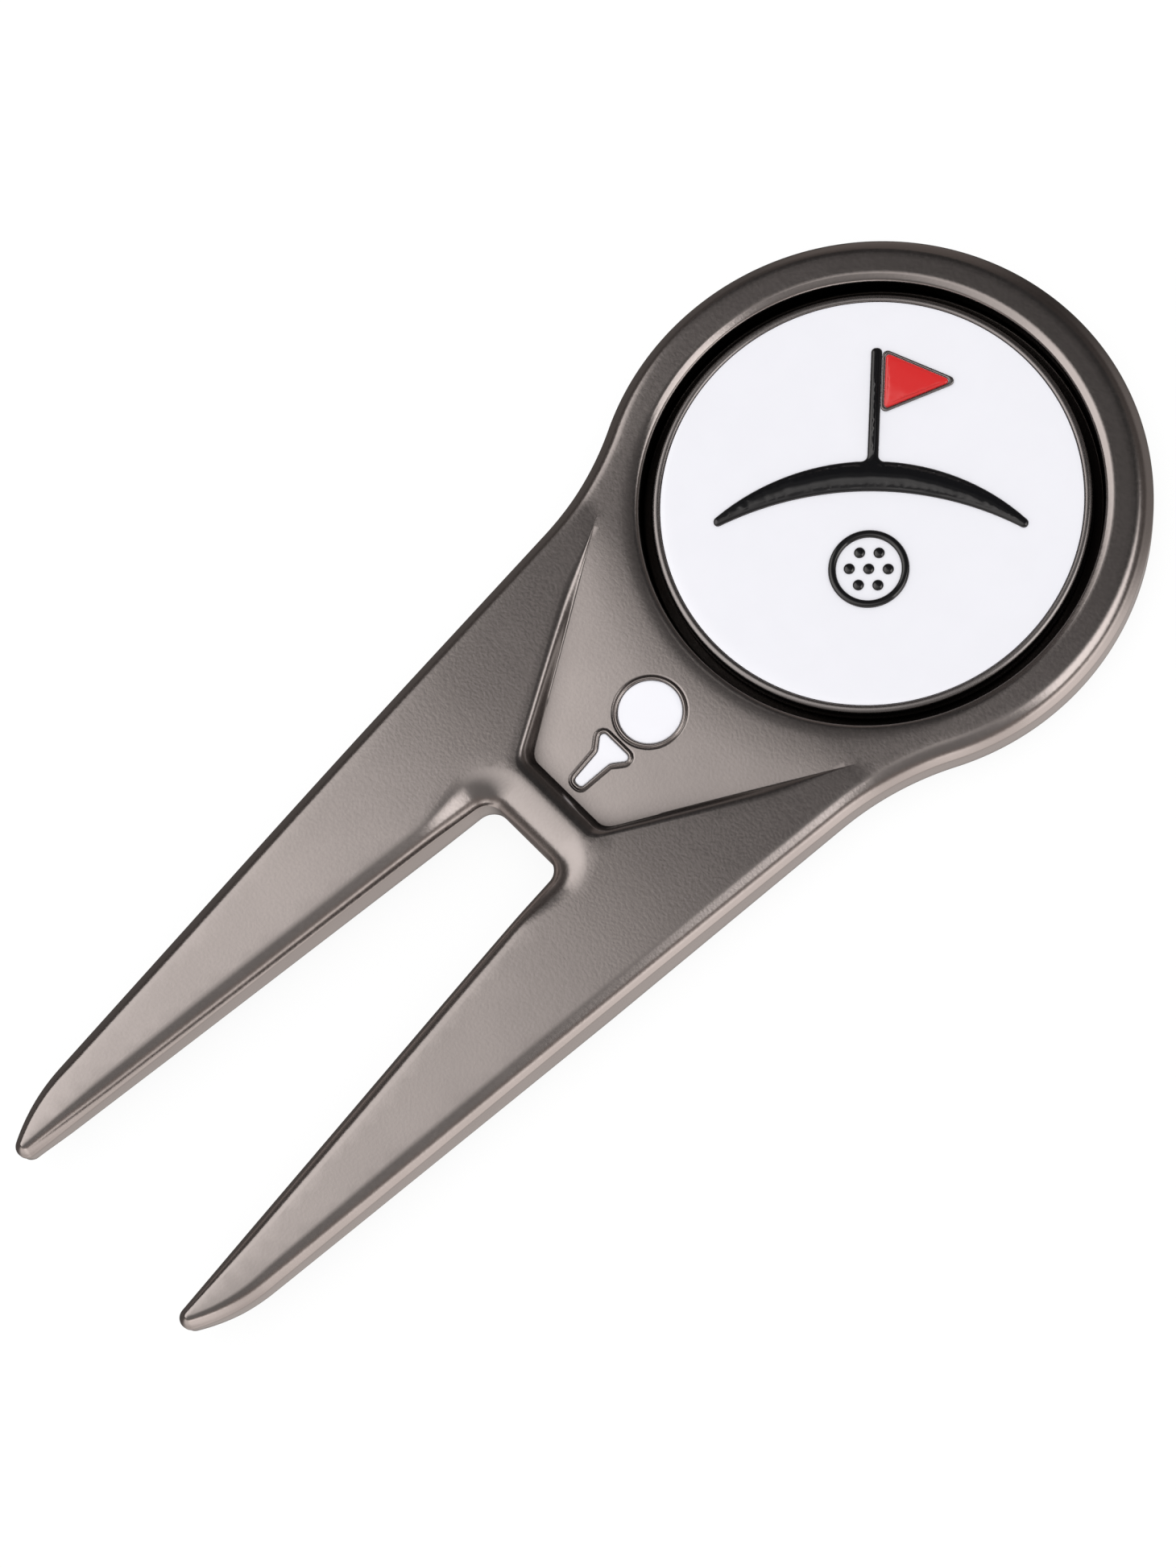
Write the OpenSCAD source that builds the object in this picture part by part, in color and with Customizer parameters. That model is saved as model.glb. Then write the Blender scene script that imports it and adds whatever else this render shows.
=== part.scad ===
// Divot repair tool: a die-cast fork whose round head seats a magnetic ball marker.
// Frame: the origin is the centre of the round head on the flat back face, +Z comes out of the
// marker's face, and the two prongs point along -Y. A distance called *_reach is measured from
// the head's centre towards the prong tips. All sizes are in millimetres.

/* [Head] */
// Outside diameter of the round head
head_d = 31.7; // [30.5:0.1:33]
// Thickness of the head, from the back face to the ring face
head_t = 3.2; // [3:0.1:4]
// Diameter of the recess that the marker sits in
seat_d = 26.3; // [25.6:0.1:27]
// Depth of that recess below the ring face
seat_depth = 1.6; // [1.4:0.1:1.8]

/* [Fork] */
// Distance from the head's centre to the prong tips
tip_reach = 59.8; // [55:0.1:65]
// Width across the neck, measured just below the head
neck_w = 24.2; // [22:0.1:26]
// Angle at which each outer edge leans in towards the tip
edge_lean = 4.58; // [3.5:0.02:5]
// Distance from the head's centre to the closed end of the slot
slot_reach = 27.2; // [26:0.1:30]
// Width of the slot at its closed end
slot_w = 5.8; // [4.6:0.1:6.4]
// Angle at which each side of the slot leans outwards
slot_lean = 5.9; // [4.5:0.1:6.5]
// Height of the prongs' top face above the ring face
prong_rise = 0.8; // [0.5:0.1:0.9]
// Thickness of the prongs at their tips
tip_t = 2.9; // [2.4:0.1:3.2]
// Bevel along the fork's edges
bevel = 0.5; // [0.3:0.1:0.6]

/* [Ball marker] */
// Diameter of the marker
marker_d = 25; // [24:0.1:25.2]
// Thickness of the marker over its rim
marker_t = 1.25; // [1.1:0.05:1.35]
// Width of the marker's rim
rim_w = 0.5; // [0.4:0.1:0.8]
// Turn of the marker in its seat, counted from the fork's axis
marker_turn = 43.6; // [0:0.1:360]

/* [Magnet] */
// Diameter of the magnet under the marker
magnet_d = 10; // [8:0.5:12]
// Thickness of the magnet
magnet_t = 1; // [0.8:0.1:1.1]

/* [Hidden] */
$fn = 96;
over = 1;            // how far a cutting shape runs past the face it opens
gap = 0.02;          // clearance around every enamel fill

// Head
head_r = head_d / 2;
seat_z = head_t - seat_depth;
ring_bevel = 0.8;
bevel_stop = 0.3;    // how far a straight bevel stays clear of a curved edge

// Fork outline
neck_reach = 14;     // where neck_w is measured
blend_r = 18;        // hollow corner between the head and the neck
slot_corner_r = 1;
corner_steps = 6;    // straight steps round each of the slot's corners
tip_end_w = 0.6;     // blunt end of each prong
tip_curve_r = 11;    // outer edge where it turns in to the tip
edge_at_centre = neck_w / 2 + neck_reach * tan(edge_lean);
edge_normal = [cos(edge_lean), -sin(edge_lean)];
edge_dir = [-sin(edge_lean), -cos(edge_lean)];
edge_gap = edge_at_centre * cos(edge_lean);     // from the head's centre to the edge's line
blend_reach = head_r + blend_r - 0.06;          // meets the head just short of tangency
blend_along = sqrt(pow(blend_reach, 2) - pow(edge_gap + blend_r, 2));
blend_c = edge_normal * (edge_gap + blend_r) + edge_dir * blend_along;
blend_on_edge = blend_c - edge_normal * blend_r;
blend_in_head = blend_c * (head_r - 1) / blend_reach;
tip_inner = slot_point(tip_reach);
tip_outer = tip_inner + [tip_end_w, 0];
tip_curve_base = [edge_at_centre, 0] - edge_normal * tip_curve_r;
tip_offset = tip_outer - tip_curve_base;
tip_curve_along = tip_offset * edge_dir
    - sqrt(pow(tip_curve_r, 2) - pow(tip_offset * edge_normal, 2));
tip_curve_c = tip_curve_base + edge_dir * tip_curve_along;
tip_curve_start = tip_curve_c + edge_normal * tip_curve_r;
slot_normal = [cos(slot_lean), sin(slot_lean)];
slot_dir = [sin(slot_lean), -cos(slot_lean)];
slot_corner_reach = slot_reach + slot_corner_r;
slot_corner_c = [slot_x(slot_corner_reach) - slot_corner_r / cos(slot_lean), -slot_corner_reach];

// Side profile: the top climbs from the ring face to the prongs, and the underside of the
// prongs ramps up towards the tips
prong_t = head_t + prong_rise;
rise_start = 11.3;
rise_end = 26;
rise = atan(prong_rise / (rise_end - rise_start));
ramp_reach = 31;
ramp = atan((prong_t - tip_t) / (tip_reach - ramp_reach));
fold = 1;            // how far a bevel runs past the fold between two faces
lip_bevel = 1;       // bevel along the closed end of the slot

// Shield let into the neck at the level of the ring face
shield_tip_reach = 23.8;
shield_tip_w = 5.9;
shield_top_w = 21.2;

// Emblem let into the shield: a ball on a tee
emblem_depth = 0.5;
ball_reach = 17.35;
ball_r = 1.85;
tee_top_reach = 19.95;
tee_tip_reach = 23.1;
tee_top_w = 2.7;
tee_stem_w = 1;
tee_tip_w = 0.64;
tee_cup = 1.05;      // length over which the tee narrows from its cup to its stem

// Magnet pocket under the marker's seat
bond_t = 0.1;
magnet_gap = 0.05;
magnet_low = 0.02;   // how far the magnet's face lies below the seat

// Marker
marker_r = marker_d / 2;
fill_r = marker_r - rim_w;
fill_depth = 0.45;
fill_low = 0.05;     // how far the white enamel lies below the rim
fill_z = seat_z + marker_t - fill_depth;
fill_top = seat_z + marker_t - fill_low;
proud = 0.15;        // how far the black and red enamel stand above the white
wall = 0.2;          // metal wall around the red pennant
wall_proud = 0.1;

// Motif on the marker: a flag on a green, over a ball
green_half_w = 8.9;
green_low = -1.1;
green_end_w = 0.6;   // height of the green's blunt ends
green_high = 2.4;
green_under = 0.6;
stick_top = 9.2;
stick_w = 0.6;
pennant_top = 8.9;
pennant_low = 5.5;
pennant_out = 3.9;
ball_low = -4;
motif_ball_r = 2.3;
motif_ball_line = 0.45;
dimple_r = 0.32;
dimple_ring = 1.1;
dimple_count = 6;

// ---------- outlines ----------

// Half-width of the slot at a distance from the head's centre
function slot_x(reach) = slot_w / 2 + (reach - slot_reach) * tan(slot_lean);

// Point on the right prong's outer edge at a distance from the head's centre
function edge_point(reach) = [edge_at_centre - reach * tan(edge_lean), -reach];

// Point on the right prong's inner edge at a distance from the head's centre
function slot_point(reach) = [slot_x(reach), -reach];

// Radius of an arch of a given half-width and rise
function arch_r(half_w, rise) = (half_w * half_w + rise * rise) / (2 * rise);

// Points round the slot's corner, from its closed end to its side
function slot_corner() = [
    for (i = [0:corner_steps])
        let (a = 90 + (slot_lean - 90) * i / corner_steps)
        slot_corner_c + slot_corner_r * [cos(a), sin(a)]
];

// What the tip's curve takes off the prong's outer corner
module tip_corner() {
    far = 2 * tip_curve_r;
    difference() {
        polygon([
            tip_curve_c,
            tip_curve_c + edge_normal * far,
            tip_curve_c + [far, -far],
            tip_curve_c + [0, -far]
        ]);
        translate(tip_curve_c) circle(tip_curve_r);
    }
}

// Right half of the fork below the head
module fork_side() {
    difference() {
        polygon(concat(
            [[0, 0], [0, -slot_reach]],
            slot_corner(),
            [
                tip_inner,
                edge_point(tip_reach),
                blend_on_edge,
                blend_c,
                blend_in_head
            ]
        ));
        translate(blend_c) circle(blend_r);
        tip_corner();
    }
}

module fork_outline() {
    fork_side();
    mirror([1, 0]) fork_side();
}

// ---------- fork body ----------

module head_disc() {
    rotate_extrude()
        polygon([
            [0, 0],
            [head_r - bevel, 0],
            [head_r, bevel],
            [head_r, head_t - ring_bevel],
            [head_r - ring_bevel, head_t],
            [0, head_t]
        ]);
}

// Tilts its children about the line across the fork at a distance from the head's centre
module tilted(reach, angle) {
    translate([0, -reach, 0])
        rotate([-angle, 0, 0])
            translate([0, reach, 0])
                children();
}

// Cuts a 45 degree bevel off a straight edge; the solid lies on the left of the run
module straight_bevel(from, to, size) {
    run = to - from;
    translate([from[0], from[1], 0])
        rotate([90, 0, atan2(run[1], run[0]) + 90])
            linear_extrude(norm(run))
                polygon([[size + over, over], [-over, over], [-over, -size - over]]);
}

module slot_end_bevel(size) {
    straight_bevel([0, -slot_reach], [slot_corner_c[0] - bevel_stop, -slot_reach], size);
}

// Starts below the rounded corner of the slot
module slot_side_bevel(to) {
    start = slot_corner_c + slot_normal * slot_corner_r + slot_dir * bevel_stop;
    straight_bevel(start, to, bevel);
}

module top_bevels() {
    translate([0, 0, prong_t]) {
        slot_end_bevel(lip_bevel);
        slot_side_bevel(tip_inner);
        straight_bevel(tip_curve_start - edge_dir * bevel_stop, edge_point(rise_end - fold), bevel);
    }
    translate([0, 0, head_t])
        tilted(rise_start, rise)
            straight_bevel(edge_point(rise_end + fold), blend_on_edge + edge_dir * bevel_stop, bevel);
}

module back_bevels() {
    mirror([0, 0, 1]) {
        slot_end_bevel(bevel);
        slot_side_bevel(slot_point(ramp_reach + fold));
        straight_bevel(edge_point(ramp_reach + fold), blend_on_edge + edge_dir * bevel_stop, bevel);
        tilted(ramp_reach, -ramp) {
            straight_bevel(slot_point(ramp_reach - fold), tip_inner, bevel);
            straight_bevel(tip_curve_start - edge_dir * bevel_stop, edge_point(ramp_reach - fold), bevel);
        }
    }
}

// Outline of the blade seen from the side, as wide as the head
module blade_profile() {
    translate([-head_r, 0, 0])
        rotate([90, 0, 90])
            linear_extrude(head_d)
                polygon([
                    [over, 0],
                    [over, head_t],
                    [-rise_start, head_t],
                    [-rise_end, prong_t],
                    [-tip_reach - over, prong_t],
                    [-tip_reach - over, prong_t - tip_t + over * tan(ramp)],
                    [-ramp_reach, 0]
                ]);
}

module fork_blade() {
    difference() {
        intersection() {
            linear_extrude(prong_t) fork_outline();
            blade_profile();
        }
        top_bevels();
        mirror([1, 0, 0]) top_bevels();
        back_bevels();
        mirror([1, 0, 0]) back_bevels();
    }
}

// Space above the shield, which narrows from the ring towards the slot
module above_shield() {
    translate([0, 0, head_t])
        linear_extrude(prong_t)
            polygon([
                [-shield_top_w / 2, -rise_start],
                [-shield_tip_w / 2, -shield_tip_reach],
                [shield_tip_w / 2, -shield_tip_reach],
                [shield_top_w / 2, -rise_start]
            ]);
}

module emblem_outline() {
    translate([0, -ball_reach]) circle(ball_r);
    polygon([
        [-tee_top_w / 2, -tee_top_reach],
        [-tee_stem_w / 2, -tee_top_reach - tee_cup],
        [-tee_tip_w / 2, -tee_tip_reach],
        [tee_tip_w / 2, -tee_tip_reach],
        [tee_stem_w / 2, -tee_top_reach - tee_cup],
        [tee_top_w / 2, -tee_top_reach]
    ]);
}

module fork_body() {
    color([0.34, 0.31, 0.29])
        difference() {
            union() {
                head_disc();
                fork_blade();
            }
            above_shield();
            translate([0, 0, seat_z]) cylinder(h = seat_depth + over, d = seat_d);
            translate([0, 0, seat_z - magnet_low - magnet_t - bond_t])
                cylinder(h = head_t, r = magnet_d / 2 + magnet_gap);
            translate([0, 0, head_t - emblem_depth])
                linear_extrude(emblem_depth + over)
                    emblem_outline();
        }
}

module neck_enamel() {
    color("white")
        translate([0, 0, head_t - emblem_depth])
            linear_extrude(emblem_depth - gap)
                emblem_outline();
}

// ---------- magnet ----------

module magnet() {
    color("silver")
        translate([0, 0, seat_z - magnet_low - magnet_t])
            cylinder(h = magnet_t, d = magnet_d);
}

module magnet_adhesive() {
    color([0.85, 0.8, 0.6])
        translate([0, 0, seat_z - magnet_low - magnet_t - bond_t])
            cylinder(h = bond_t, d = magnet_d);
}

// ---------- marker ----------

// Places its children on the marker, turned as it sits in the head
module on_marker(z) {
    translate([0, 0, z]) rotate([0, 0, marker_turn]) children();
}

module pennant_outline(grow) {
    slant = atan2((pennant_top - pennant_low) / 2, pennant_out);
    nose = grow / sin(slant);
    side = grow / cos(slant) + grow * tan(slant);
    polygon([
        [stick_w / 2 + wall - grow, pennant_low - side],
        [stick_w / 2 + wall + pennant_out + nose, (pennant_low + pennant_top) / 2],
        [stick_w / 2 + wall - grow, pennant_top + side]
    ]);
}

// Arched band with blunt ends
module green_outline() {
    green_r = arch_r(green_half_w, green_high - green_low);
    under_r = arch_r(green_half_w, green_under - green_low + green_end_w);
    intersection() {
        difference() {
            translate([0, green_high - green_r]) circle(green_r);
            translate([0, green_under - under_r]) circle(under_r);
        }
        translate([-green_half_w, ball_low / 2]) square([2 * green_half_w, green_half_w]);
    }
}

module black_outline() {
    green_outline();
    translate([-stick_w / 2, green_under + stick_w]) square([stick_w, stick_top - green_under - stick_w]);
    translate([0, ball_low]) {
        difference() {
            circle(motif_ball_r);
            circle(motif_ball_r - motif_ball_line);
        }
        circle(dimple_r);
        for (i = [0:dimple_count - 1])
            rotate(i * 360 / dimple_count) translate([dimple_ring, 0]) circle(dimple_r);
    }
}

module marker_base() {
    color([0.4, 0.37, 0.35]) {
        difference() {
            translate([0, 0, seat_z]) cylinder(h = marker_t, r = marker_r);
            translate([0, 0, fill_z]) cylinder(h = fill_depth + over, r = fill_r);
        }
        on_marker(fill_z)
            linear_extrude(fill_top + wall_proud - fill_z)
                difference() {
                    pennant_outline(wall);
                    pennant_outline(0);
                }
    }
}

module marker_enamel_white() {
    color([0.96, 0.96, 1])
        on_marker(fill_z)
            linear_extrude(fill_top - fill_z)
                difference() {
                    circle(fill_r - gap);
                    black_outline();
                    pennant_outline(wall);
                }
}

module marker_enamel_red() {
    color([0.85, 0.1, 0.1])
        on_marker(fill_z)
            linear_extrude(fill_top + proud - fill_z)
                pennant_outline(-gap);
}

module marker_enamel_black() {
    color([0.06, 0.06, 0.07])
        on_marker(fill_z)
            linear_extrude(fill_top + proud - fill_z)
                black_outline();
}

fork_body();
neck_enamel();
magnet();
magnet_adhesive();
marker_base();
marker_enamel_white();
marker_enamel_red();
marker_enamel_black();
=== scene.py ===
"""Looks of the divot repair tool: a cast fork, its inlaid neck emblem, the magnet and the ball marker.

Lengths are in millimetres until a piece is made. The frame is the part's: the head's centre on the
flat back is the origin, +Z comes out of the marker, the prongs point along -Y. A length called
reach is measured from the head's centre towards the prong tips.
"""

import math

import bmesh
import bpy
import numpy as np
from mathutils import Matrix, Vector
from mathutils.geometry import delaunay_2d_cdt


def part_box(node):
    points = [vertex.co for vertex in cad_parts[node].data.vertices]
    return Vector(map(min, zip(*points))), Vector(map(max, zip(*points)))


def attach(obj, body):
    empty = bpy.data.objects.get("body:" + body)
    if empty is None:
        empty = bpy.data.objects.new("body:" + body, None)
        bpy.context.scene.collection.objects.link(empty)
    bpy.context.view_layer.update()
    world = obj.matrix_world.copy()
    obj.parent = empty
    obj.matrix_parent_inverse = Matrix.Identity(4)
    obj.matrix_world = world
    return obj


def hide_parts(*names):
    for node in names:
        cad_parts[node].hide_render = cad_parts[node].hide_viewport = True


MM = 0.001

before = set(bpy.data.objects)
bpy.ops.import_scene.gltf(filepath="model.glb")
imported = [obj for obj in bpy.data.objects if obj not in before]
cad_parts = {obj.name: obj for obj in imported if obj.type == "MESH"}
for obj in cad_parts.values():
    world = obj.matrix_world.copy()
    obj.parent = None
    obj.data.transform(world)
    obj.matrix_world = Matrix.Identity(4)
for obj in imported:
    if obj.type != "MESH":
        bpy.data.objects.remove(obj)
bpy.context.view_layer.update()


def node_corners(node):
    """Lowest and highest corners of a CAD node, in millimetres to the nearest hundredth."""
    return [[round(c / MM, 2) for c in corner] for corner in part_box(node)]


FORK_LOW, FORK_HIGH = node_corners("fork_body")
MAGNET_CORNERS = node_corners("magnet")
BASE_CORNERS = node_corners("marker_base")
WHITE_CORNERS = node_corners("marker_enamel_white")

# Head
HEAD_R = FORK_HIGH[1]
HEAD_T = 3.2
SEAT_R = 13.15
SEAT_Z = BASE_CORNERS[0][2]
LIP_R = 13.45
ROLL_R = 13.7             # where the ring face starts to roll into the recess
NECK_ROLL = 3.1           # how much further out the broad roll starts by the neck
NECK_LIP_ROLL = 0.6       # the same for the tight roll
NECK_ROLL_START = 4       # reach where the roll starts to broaden
NECK_ROLL_FADE = 7
ROLL_DROP = 0.09
ROUND_END = 63            # steepest slope of the top rounding, where it meets the wall
SEAM_R = 0.15             # small rounding between the top rounding and the wall
BELT_DROP = 0.35          # widest line of the wall, below the seam
BELT_INSET = 0.01
WALL_DRAFT = 0.09         # how far the wall leans in towards the back
RING_RADII = (13.55, 13.66, 13.79, 13.98, 14.2, 14.5, 14.8, 15.1, 15.4, 15.75, 16.1, 16.5, 17)

# Fork outline
TIP_REACH = -FORK_LOW[1]
EDGE_LEAN = math.radians(4.58)
NECK_HALF_W = 12.1
NECK_REACH = 14
EDGE_AT_CENTRE = NECK_HALF_W + NECK_REACH * math.tan(EDGE_LEAN)
SLOT_REACH = 27.2
SLOT_HALF_W = 2.9
SLOT_LEAN = math.radians(5.9)
SLOT_CORNER_R = 1.0
BLEND_R = 18.0
TIP_R = 0.66
TIP_CURVE_R = 11.0

# Side profile
PRONG_T = FORK_HIGH[2]
RISE_START = 11.3
RISE_BEND = 24.0
RISE_END = 40.0
RAMP_REACH = 31.0
TIP_LIFT = 1.1
RAMP_CURVE = 1.05

# Rounding of the fork's edges, as (reach, size) stops
TOP_WIDTHS = ((11, 1.05), (30, 1.1), (45, 1.1), (54, 0.95), (TIP_REACH, 0.6))
TOP_DROPS = ((11, 0.8), (30, 0.75), (45, 0.8), (54, 0.8), (TIP_REACH, 0.85))
BACK_WIDTHS = ((50, 0.7), (TIP_REACH, 0.55))
BACK_HEIGHTS = ((50, 0.75), (57, 0.9), (TIP_REACH, 1.4))
SLOT_LIP_W = 2.05         # broader rounding at the slot's closed end
SLOT_LIP_DROP = 1.0
SLOT_LIP_FADE = 4.2

# Shield let into the neck
SHIELD_TOP_X = 10.6
SHIELD_TIP_X = 2.95
SHIELD_TIP_REACH = 23.8
SHIELD_FALL = 0.003
SHIELD_CROWN = 0.0025
SHIELD_CROWN_FADE = 11    # length over which the crown grows away from the head
SHIELD_WALL_FADE = 5      # length over which the wall's slope grows to its full width
SHIELD_CORNER = 0.5
# Wall round the shield: (offset at the sides, offset at the slot's end, share of the wall's height)
WALL_STEPS = ((-0.07, -0.07, 0), (0, 0, 0), (0.06, 0.08, 0.1), (0.16, 0.2, 0.36), (0.28, 0.36, 0.63),
              (0.38, 0.52, 0.8), (0.48, 0.7, 0.9), (0.6, 0.9, 0.965), (0.72, 1.05, 0.993), (0.8, 1.12, 1))

# Emblem on the shield; its rim is a bead and a groove, as (offset, height) steps
EMBLEM_BALL_REACH = 17.35
EMBLEM_BALL_R = 1.85
EMBLEM_DEPTH = 0.5
RIM_STEPS = ((0.04, 0.05), (0.09, 0.09), (0.14, 0.09), (0.19, 0.05),
             (0.23, -0.03), (0.27, -0.04), (0.32, 0.0), (0.4, 0.0))

# Magnet
MAGNET_R = MAGNET_CORNERS[1][0]
MAGNET_LOW = MAGNET_CORNERS[0][2]
MAGNET_TOP = MAGNET_CORNERS[1][2]
POCKET_R = 5.05
POCKET_Z = node_corners("magnet_adhesive")[0][2]

# Marker
MARKER_R = BASE_CORNERS[1][0]
MARKER_TOP = 2.85
FILL_R = 12.0
FILL_Z = WHITE_CORNERS[0][2]
FILL_TOP = WHITE_CORNERS[1][2]
MARKER_TURN = 43.6
MOTIF_SUNK = 0.02         # how far the motifs' feet are sunk in the white enamel


# ---------- flat outlines ----------

def arc(centre, radius, start, end, steps):
    """Points on an arc between two angles in degrees, both ends included."""
    angles = np.radians(np.linspace(start, end, steps + 1))
    return [(centre[0] + radius * math.cos(a), centre[1] + radius * math.sin(a)) for a in angles]


def circle(centre, radius, steps):
    return arc(centre, radius, 0, 360, steps)[:-1]


def line(start, end, longest):
    """Points from start up to, but without, end, no further apart than longest."""
    steps = max(1, math.ceil(math.dist(start, end) / longest))
    return [tuple(np.array(start) + (np.array(end) - start) * i / steps) for i in range(steps)]


def direction(start, end):
    run = np.array(end, float) - start
    return run / np.linalg.norm(run)


def rounded(corners, steps=5):
    """Closed outline from (x, y, radius) corners; a corner with radius 0 is kept as it is."""
    points = []
    count = len(corners)
    for i, (x, y, radius) in enumerate(corners):
        here = np.array((x, y))
        if radius == 0:
            points.append((x, y))
            continue
        back = direction(here, corners[i - 1][:2])
        ahead = direction(here, corners[(i + 1) % count][:2])
        half = math.acos(np.clip(back @ ahead, -1, 1)) / 2
        middle = here + (back + ahead) / np.linalg.norm(back + ahead) * radius / math.sin(half)
        first = here + back * radius / math.tan(half) - middle
        last = here + ahead * radius / math.tan(half) - middle
        turn = math.atan2(first[0] * last[1] - first[1] * last[0], first @ last)
        start = math.atan2(first[1], first[0])
        for k in range(steps + 1):
            a = start + turn * k / steps
            points.append((middle[0] + radius * math.cos(a), middle[1] + radius * math.sin(a)))
    return points


def inward(loop):
    """Mitred normals that point into a counterclockwise outline."""
    points = np.array(loop)
    before = points - np.roll(points, 1, 0)
    after = np.roll(points, -1, 0) - points
    before /= np.linalg.norm(before, axis=1)[:, None]
    after /= np.linalg.norm(after, axis=1)[:, None]
    sides = [np.stack((-t[:, 1], t[:, 0]), 1) for t in (before, after)]
    total = sides[0] + sides[1]
    return total / np.maximum((total * sides[0]).sum(1), 0.5)[:, None]


def offset(loop, distance):
    """The outline moved inwards by a distance, or outwards by a negative one."""
    return [tuple(p) for p in np.array(loop) + inward(loop) * distance]


def turned(points, degrees):
    c = math.cos(math.radians(degrees))
    s = math.sin(math.radians(degrees))
    return [(x * c - y * s, x * s + y * c) for x, y in points]


def inside(points, loop):
    """Which of the points lie inside a closed outline."""
    points = np.atleast_2d(points)
    result = np.zeros(len(points), bool)
    for (x0, y0), (x1, y1) in zip(loop, loop[1:] + loop[:1]):
        if y0 == y1:
            continue
        crosses = (y0 > points[:, 1]) != (y1 > points[:, 1])
        at = x0 + (points[:, 1] - y0) * (x1 - x0) / (y1 - y0)
        result ^= crosses & (points[:, 0] < at)
    return result


def steps_between(value, stops):
    """Straight-line interpolation through (position, value) stops."""
    return float(np.interp(value, [s[0] for s in stops], [s[1] for s in stops]))


def ease(value):
    value = min(1.0, max(0.0, value))
    return value * value * (3 - 2 * value)


# ---------- meshes ----------

class Shell:
    """Points and faces of one piece, in millimetres."""

    def __init__(self):
        self.points = []
        self.faces = []

    def ring(self, flat, heights):
        """Adds points; heights is one height or one for each point."""
        first = len(self.points)
        heights = np.broadcast_to(heights, len(flat))
        self.points += [(x, y, z) for (x, y), z in zip(flat, heights)]
        return list(range(first, len(self.points)))

    def flat(self, ring):
        return [self.points[i][:2] for i in ring]

    def bridge(self, a, b):
        for i in range(len(a)):
            j = (i + 1) % len(a)
            self.faces.append((a[i], a[j], b[j], b[i]))

    def stack(self, rings):
        """Joins rings one after another and returns the last."""
        for a, b in zip(rings, rings[1:]):
            self.bridge(a, b)
        return rings[-1]

    def fan(self, ring, point):
        self.points.append(point)
        for i in range(len(ring)):
            self.faces.append((ring[i], ring[(i + 1) % len(ring)], len(self.points) - 1))

    def fill(self, outer, holes=(), lines=(), spare=(), height=None):
        """Fills between rings with triangles.

        lines are polylines of (x, y, z) that must become edges, spare are (x, y) points to use.
        """
        known = []
        flat = []
        edges = []
        for ring in (outer, *holes):
            start = len(flat)
            known += ring
            flat += self.flat(ring)
            edges += [(start + i, start + (i + 1) % len(ring)) for i in range(len(ring))]
        for path in lines:
            start = len(flat)
            for point in path:
                self.points.append(tuple(point))
                known.append(len(self.points) - 1)
                flat.append(point[:2])
            edges += [(start + i, start + i + 1) for i in range(len(path) - 1)]
        for x, y in spare:
            self.points.append((x, y, height(x, y)))
            known.append(len(self.points) - 1)
            flat.append((x, y))
        result = delaunay_2d_cdt([Vector(p) for p in flat], edges, [], 0, 1e-5, True)
        corners, triangles, origins = result[0], result[2], result[3]
        place = np.array([tuple(c) for c in corners])
        middles = np.array([place[list(t)].mean(0) for t in triangles])
        keep = inside(middles, self.flat(outer))
        for hole in holes:
            keep &= ~inside(middles, self.flat(hole))
        index = []
        for corner, origin in zip(corners, origins):
            if origin:
                index.append(known[origin[0]])
            else:
                self.points.append((corner[0], corner[1], height(*corner)))
                index.append(len(self.points) - 1)
        for good, triangle in zip(keep, triangles):
            if good:
                self.faces.append(tuple(index[i] for i in triangle))

    def make(self, name, material, crease=50):
        mesh = bpy.data.meshes.new(name)
        mesh.from_pydata([tuple(c * MM for c in p) for p in self.points], [], self.faces)
        work = bmesh.new()
        work.from_mesh(mesh)
        bmesh.ops.delete(work, geom=[v for v in work.verts if not v.link_faces], context="VERTS")
        bmesh.ops.recalc_face_normals(work, faces=work.faces)
        work.to_mesh(mesh)
        work.free()
        mesh.shade_smooth()
        mesh.set_sharp_from_angle(angle=math.radians(crease))
        mesh.materials.append(material)
        piece = bpy.data.objects.new(name, mesh)
        bpy.context.scene.collection.objects.link(piece)
        weights = piece.modifiers.new("normals", "WEIGHTED_NORMAL")
        weights.keep_sharp = True
        return piece


def lathe(profile, steps):
    """Solid of revolution about the Z axis, from (radius, height) points on one side."""
    shell = Shell()
    rings = []
    for radius, z in profile[1:-1]:
        rings.append(shell.ring(circle((0, 0), radius, steps), z))
    shell.stack(rings)
    shell.fan(rings[0], (0, 0, profile[0][1]))
    shell.fan(rings[-1], (0, 0, profile[-1][1]))
    return shell


def pillow(shell, outer, holes, low, high, edge, tall, crown=0.0):
    """Adds a raised shape with rounded upper edges, edge wide and tall high.

    The middle swells above the edges by up to crown.
    """
    tops = []
    bottoms = []
    for loop, sign in [(outer, 1)] + [(h, -1) for h in holes]:
        rings = [shell.ring(loop, low), shell.ring(loop, high - tall)]
        for degrees in (22.5, 45, 67.5, 90):
            a = math.radians(degrees)
            moved = offset(loop, sign * edge * (1 - math.cos(a)))
            rings.append(shell.ring(moved, high - tall * (1 - math.sin(a))))
        tops.append(shell.stack(rings))
        bottoms.append(rings[0])
    spare = []
    if crown:
        border = np.array([p for ring in tops for p in shell.flat(ring)])
        (x0, y0), (x1, y1) = border.min(0), border.max(0)
        spare = clear_of(hex_points(x0, y0, x1, y1, 0.14), border, 0.08)
        spare = spare[inside(spare, shell.flat(tops[0]))]
        for hole in tops[1:]:
            spare = spare[~inside(spare, shell.flat(hole))]
    first_face = len(shell.faces)
    first_point = len(shell.points)
    shell.fill(tops[0], tops[1:], spare=spare, height=lambda x, y: high)
    if crown:
        swell(shell, first_face, first_point, crown)
    shell.fill(bottoms[0], bottoms[1:], height=lambda x, y: low)


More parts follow.
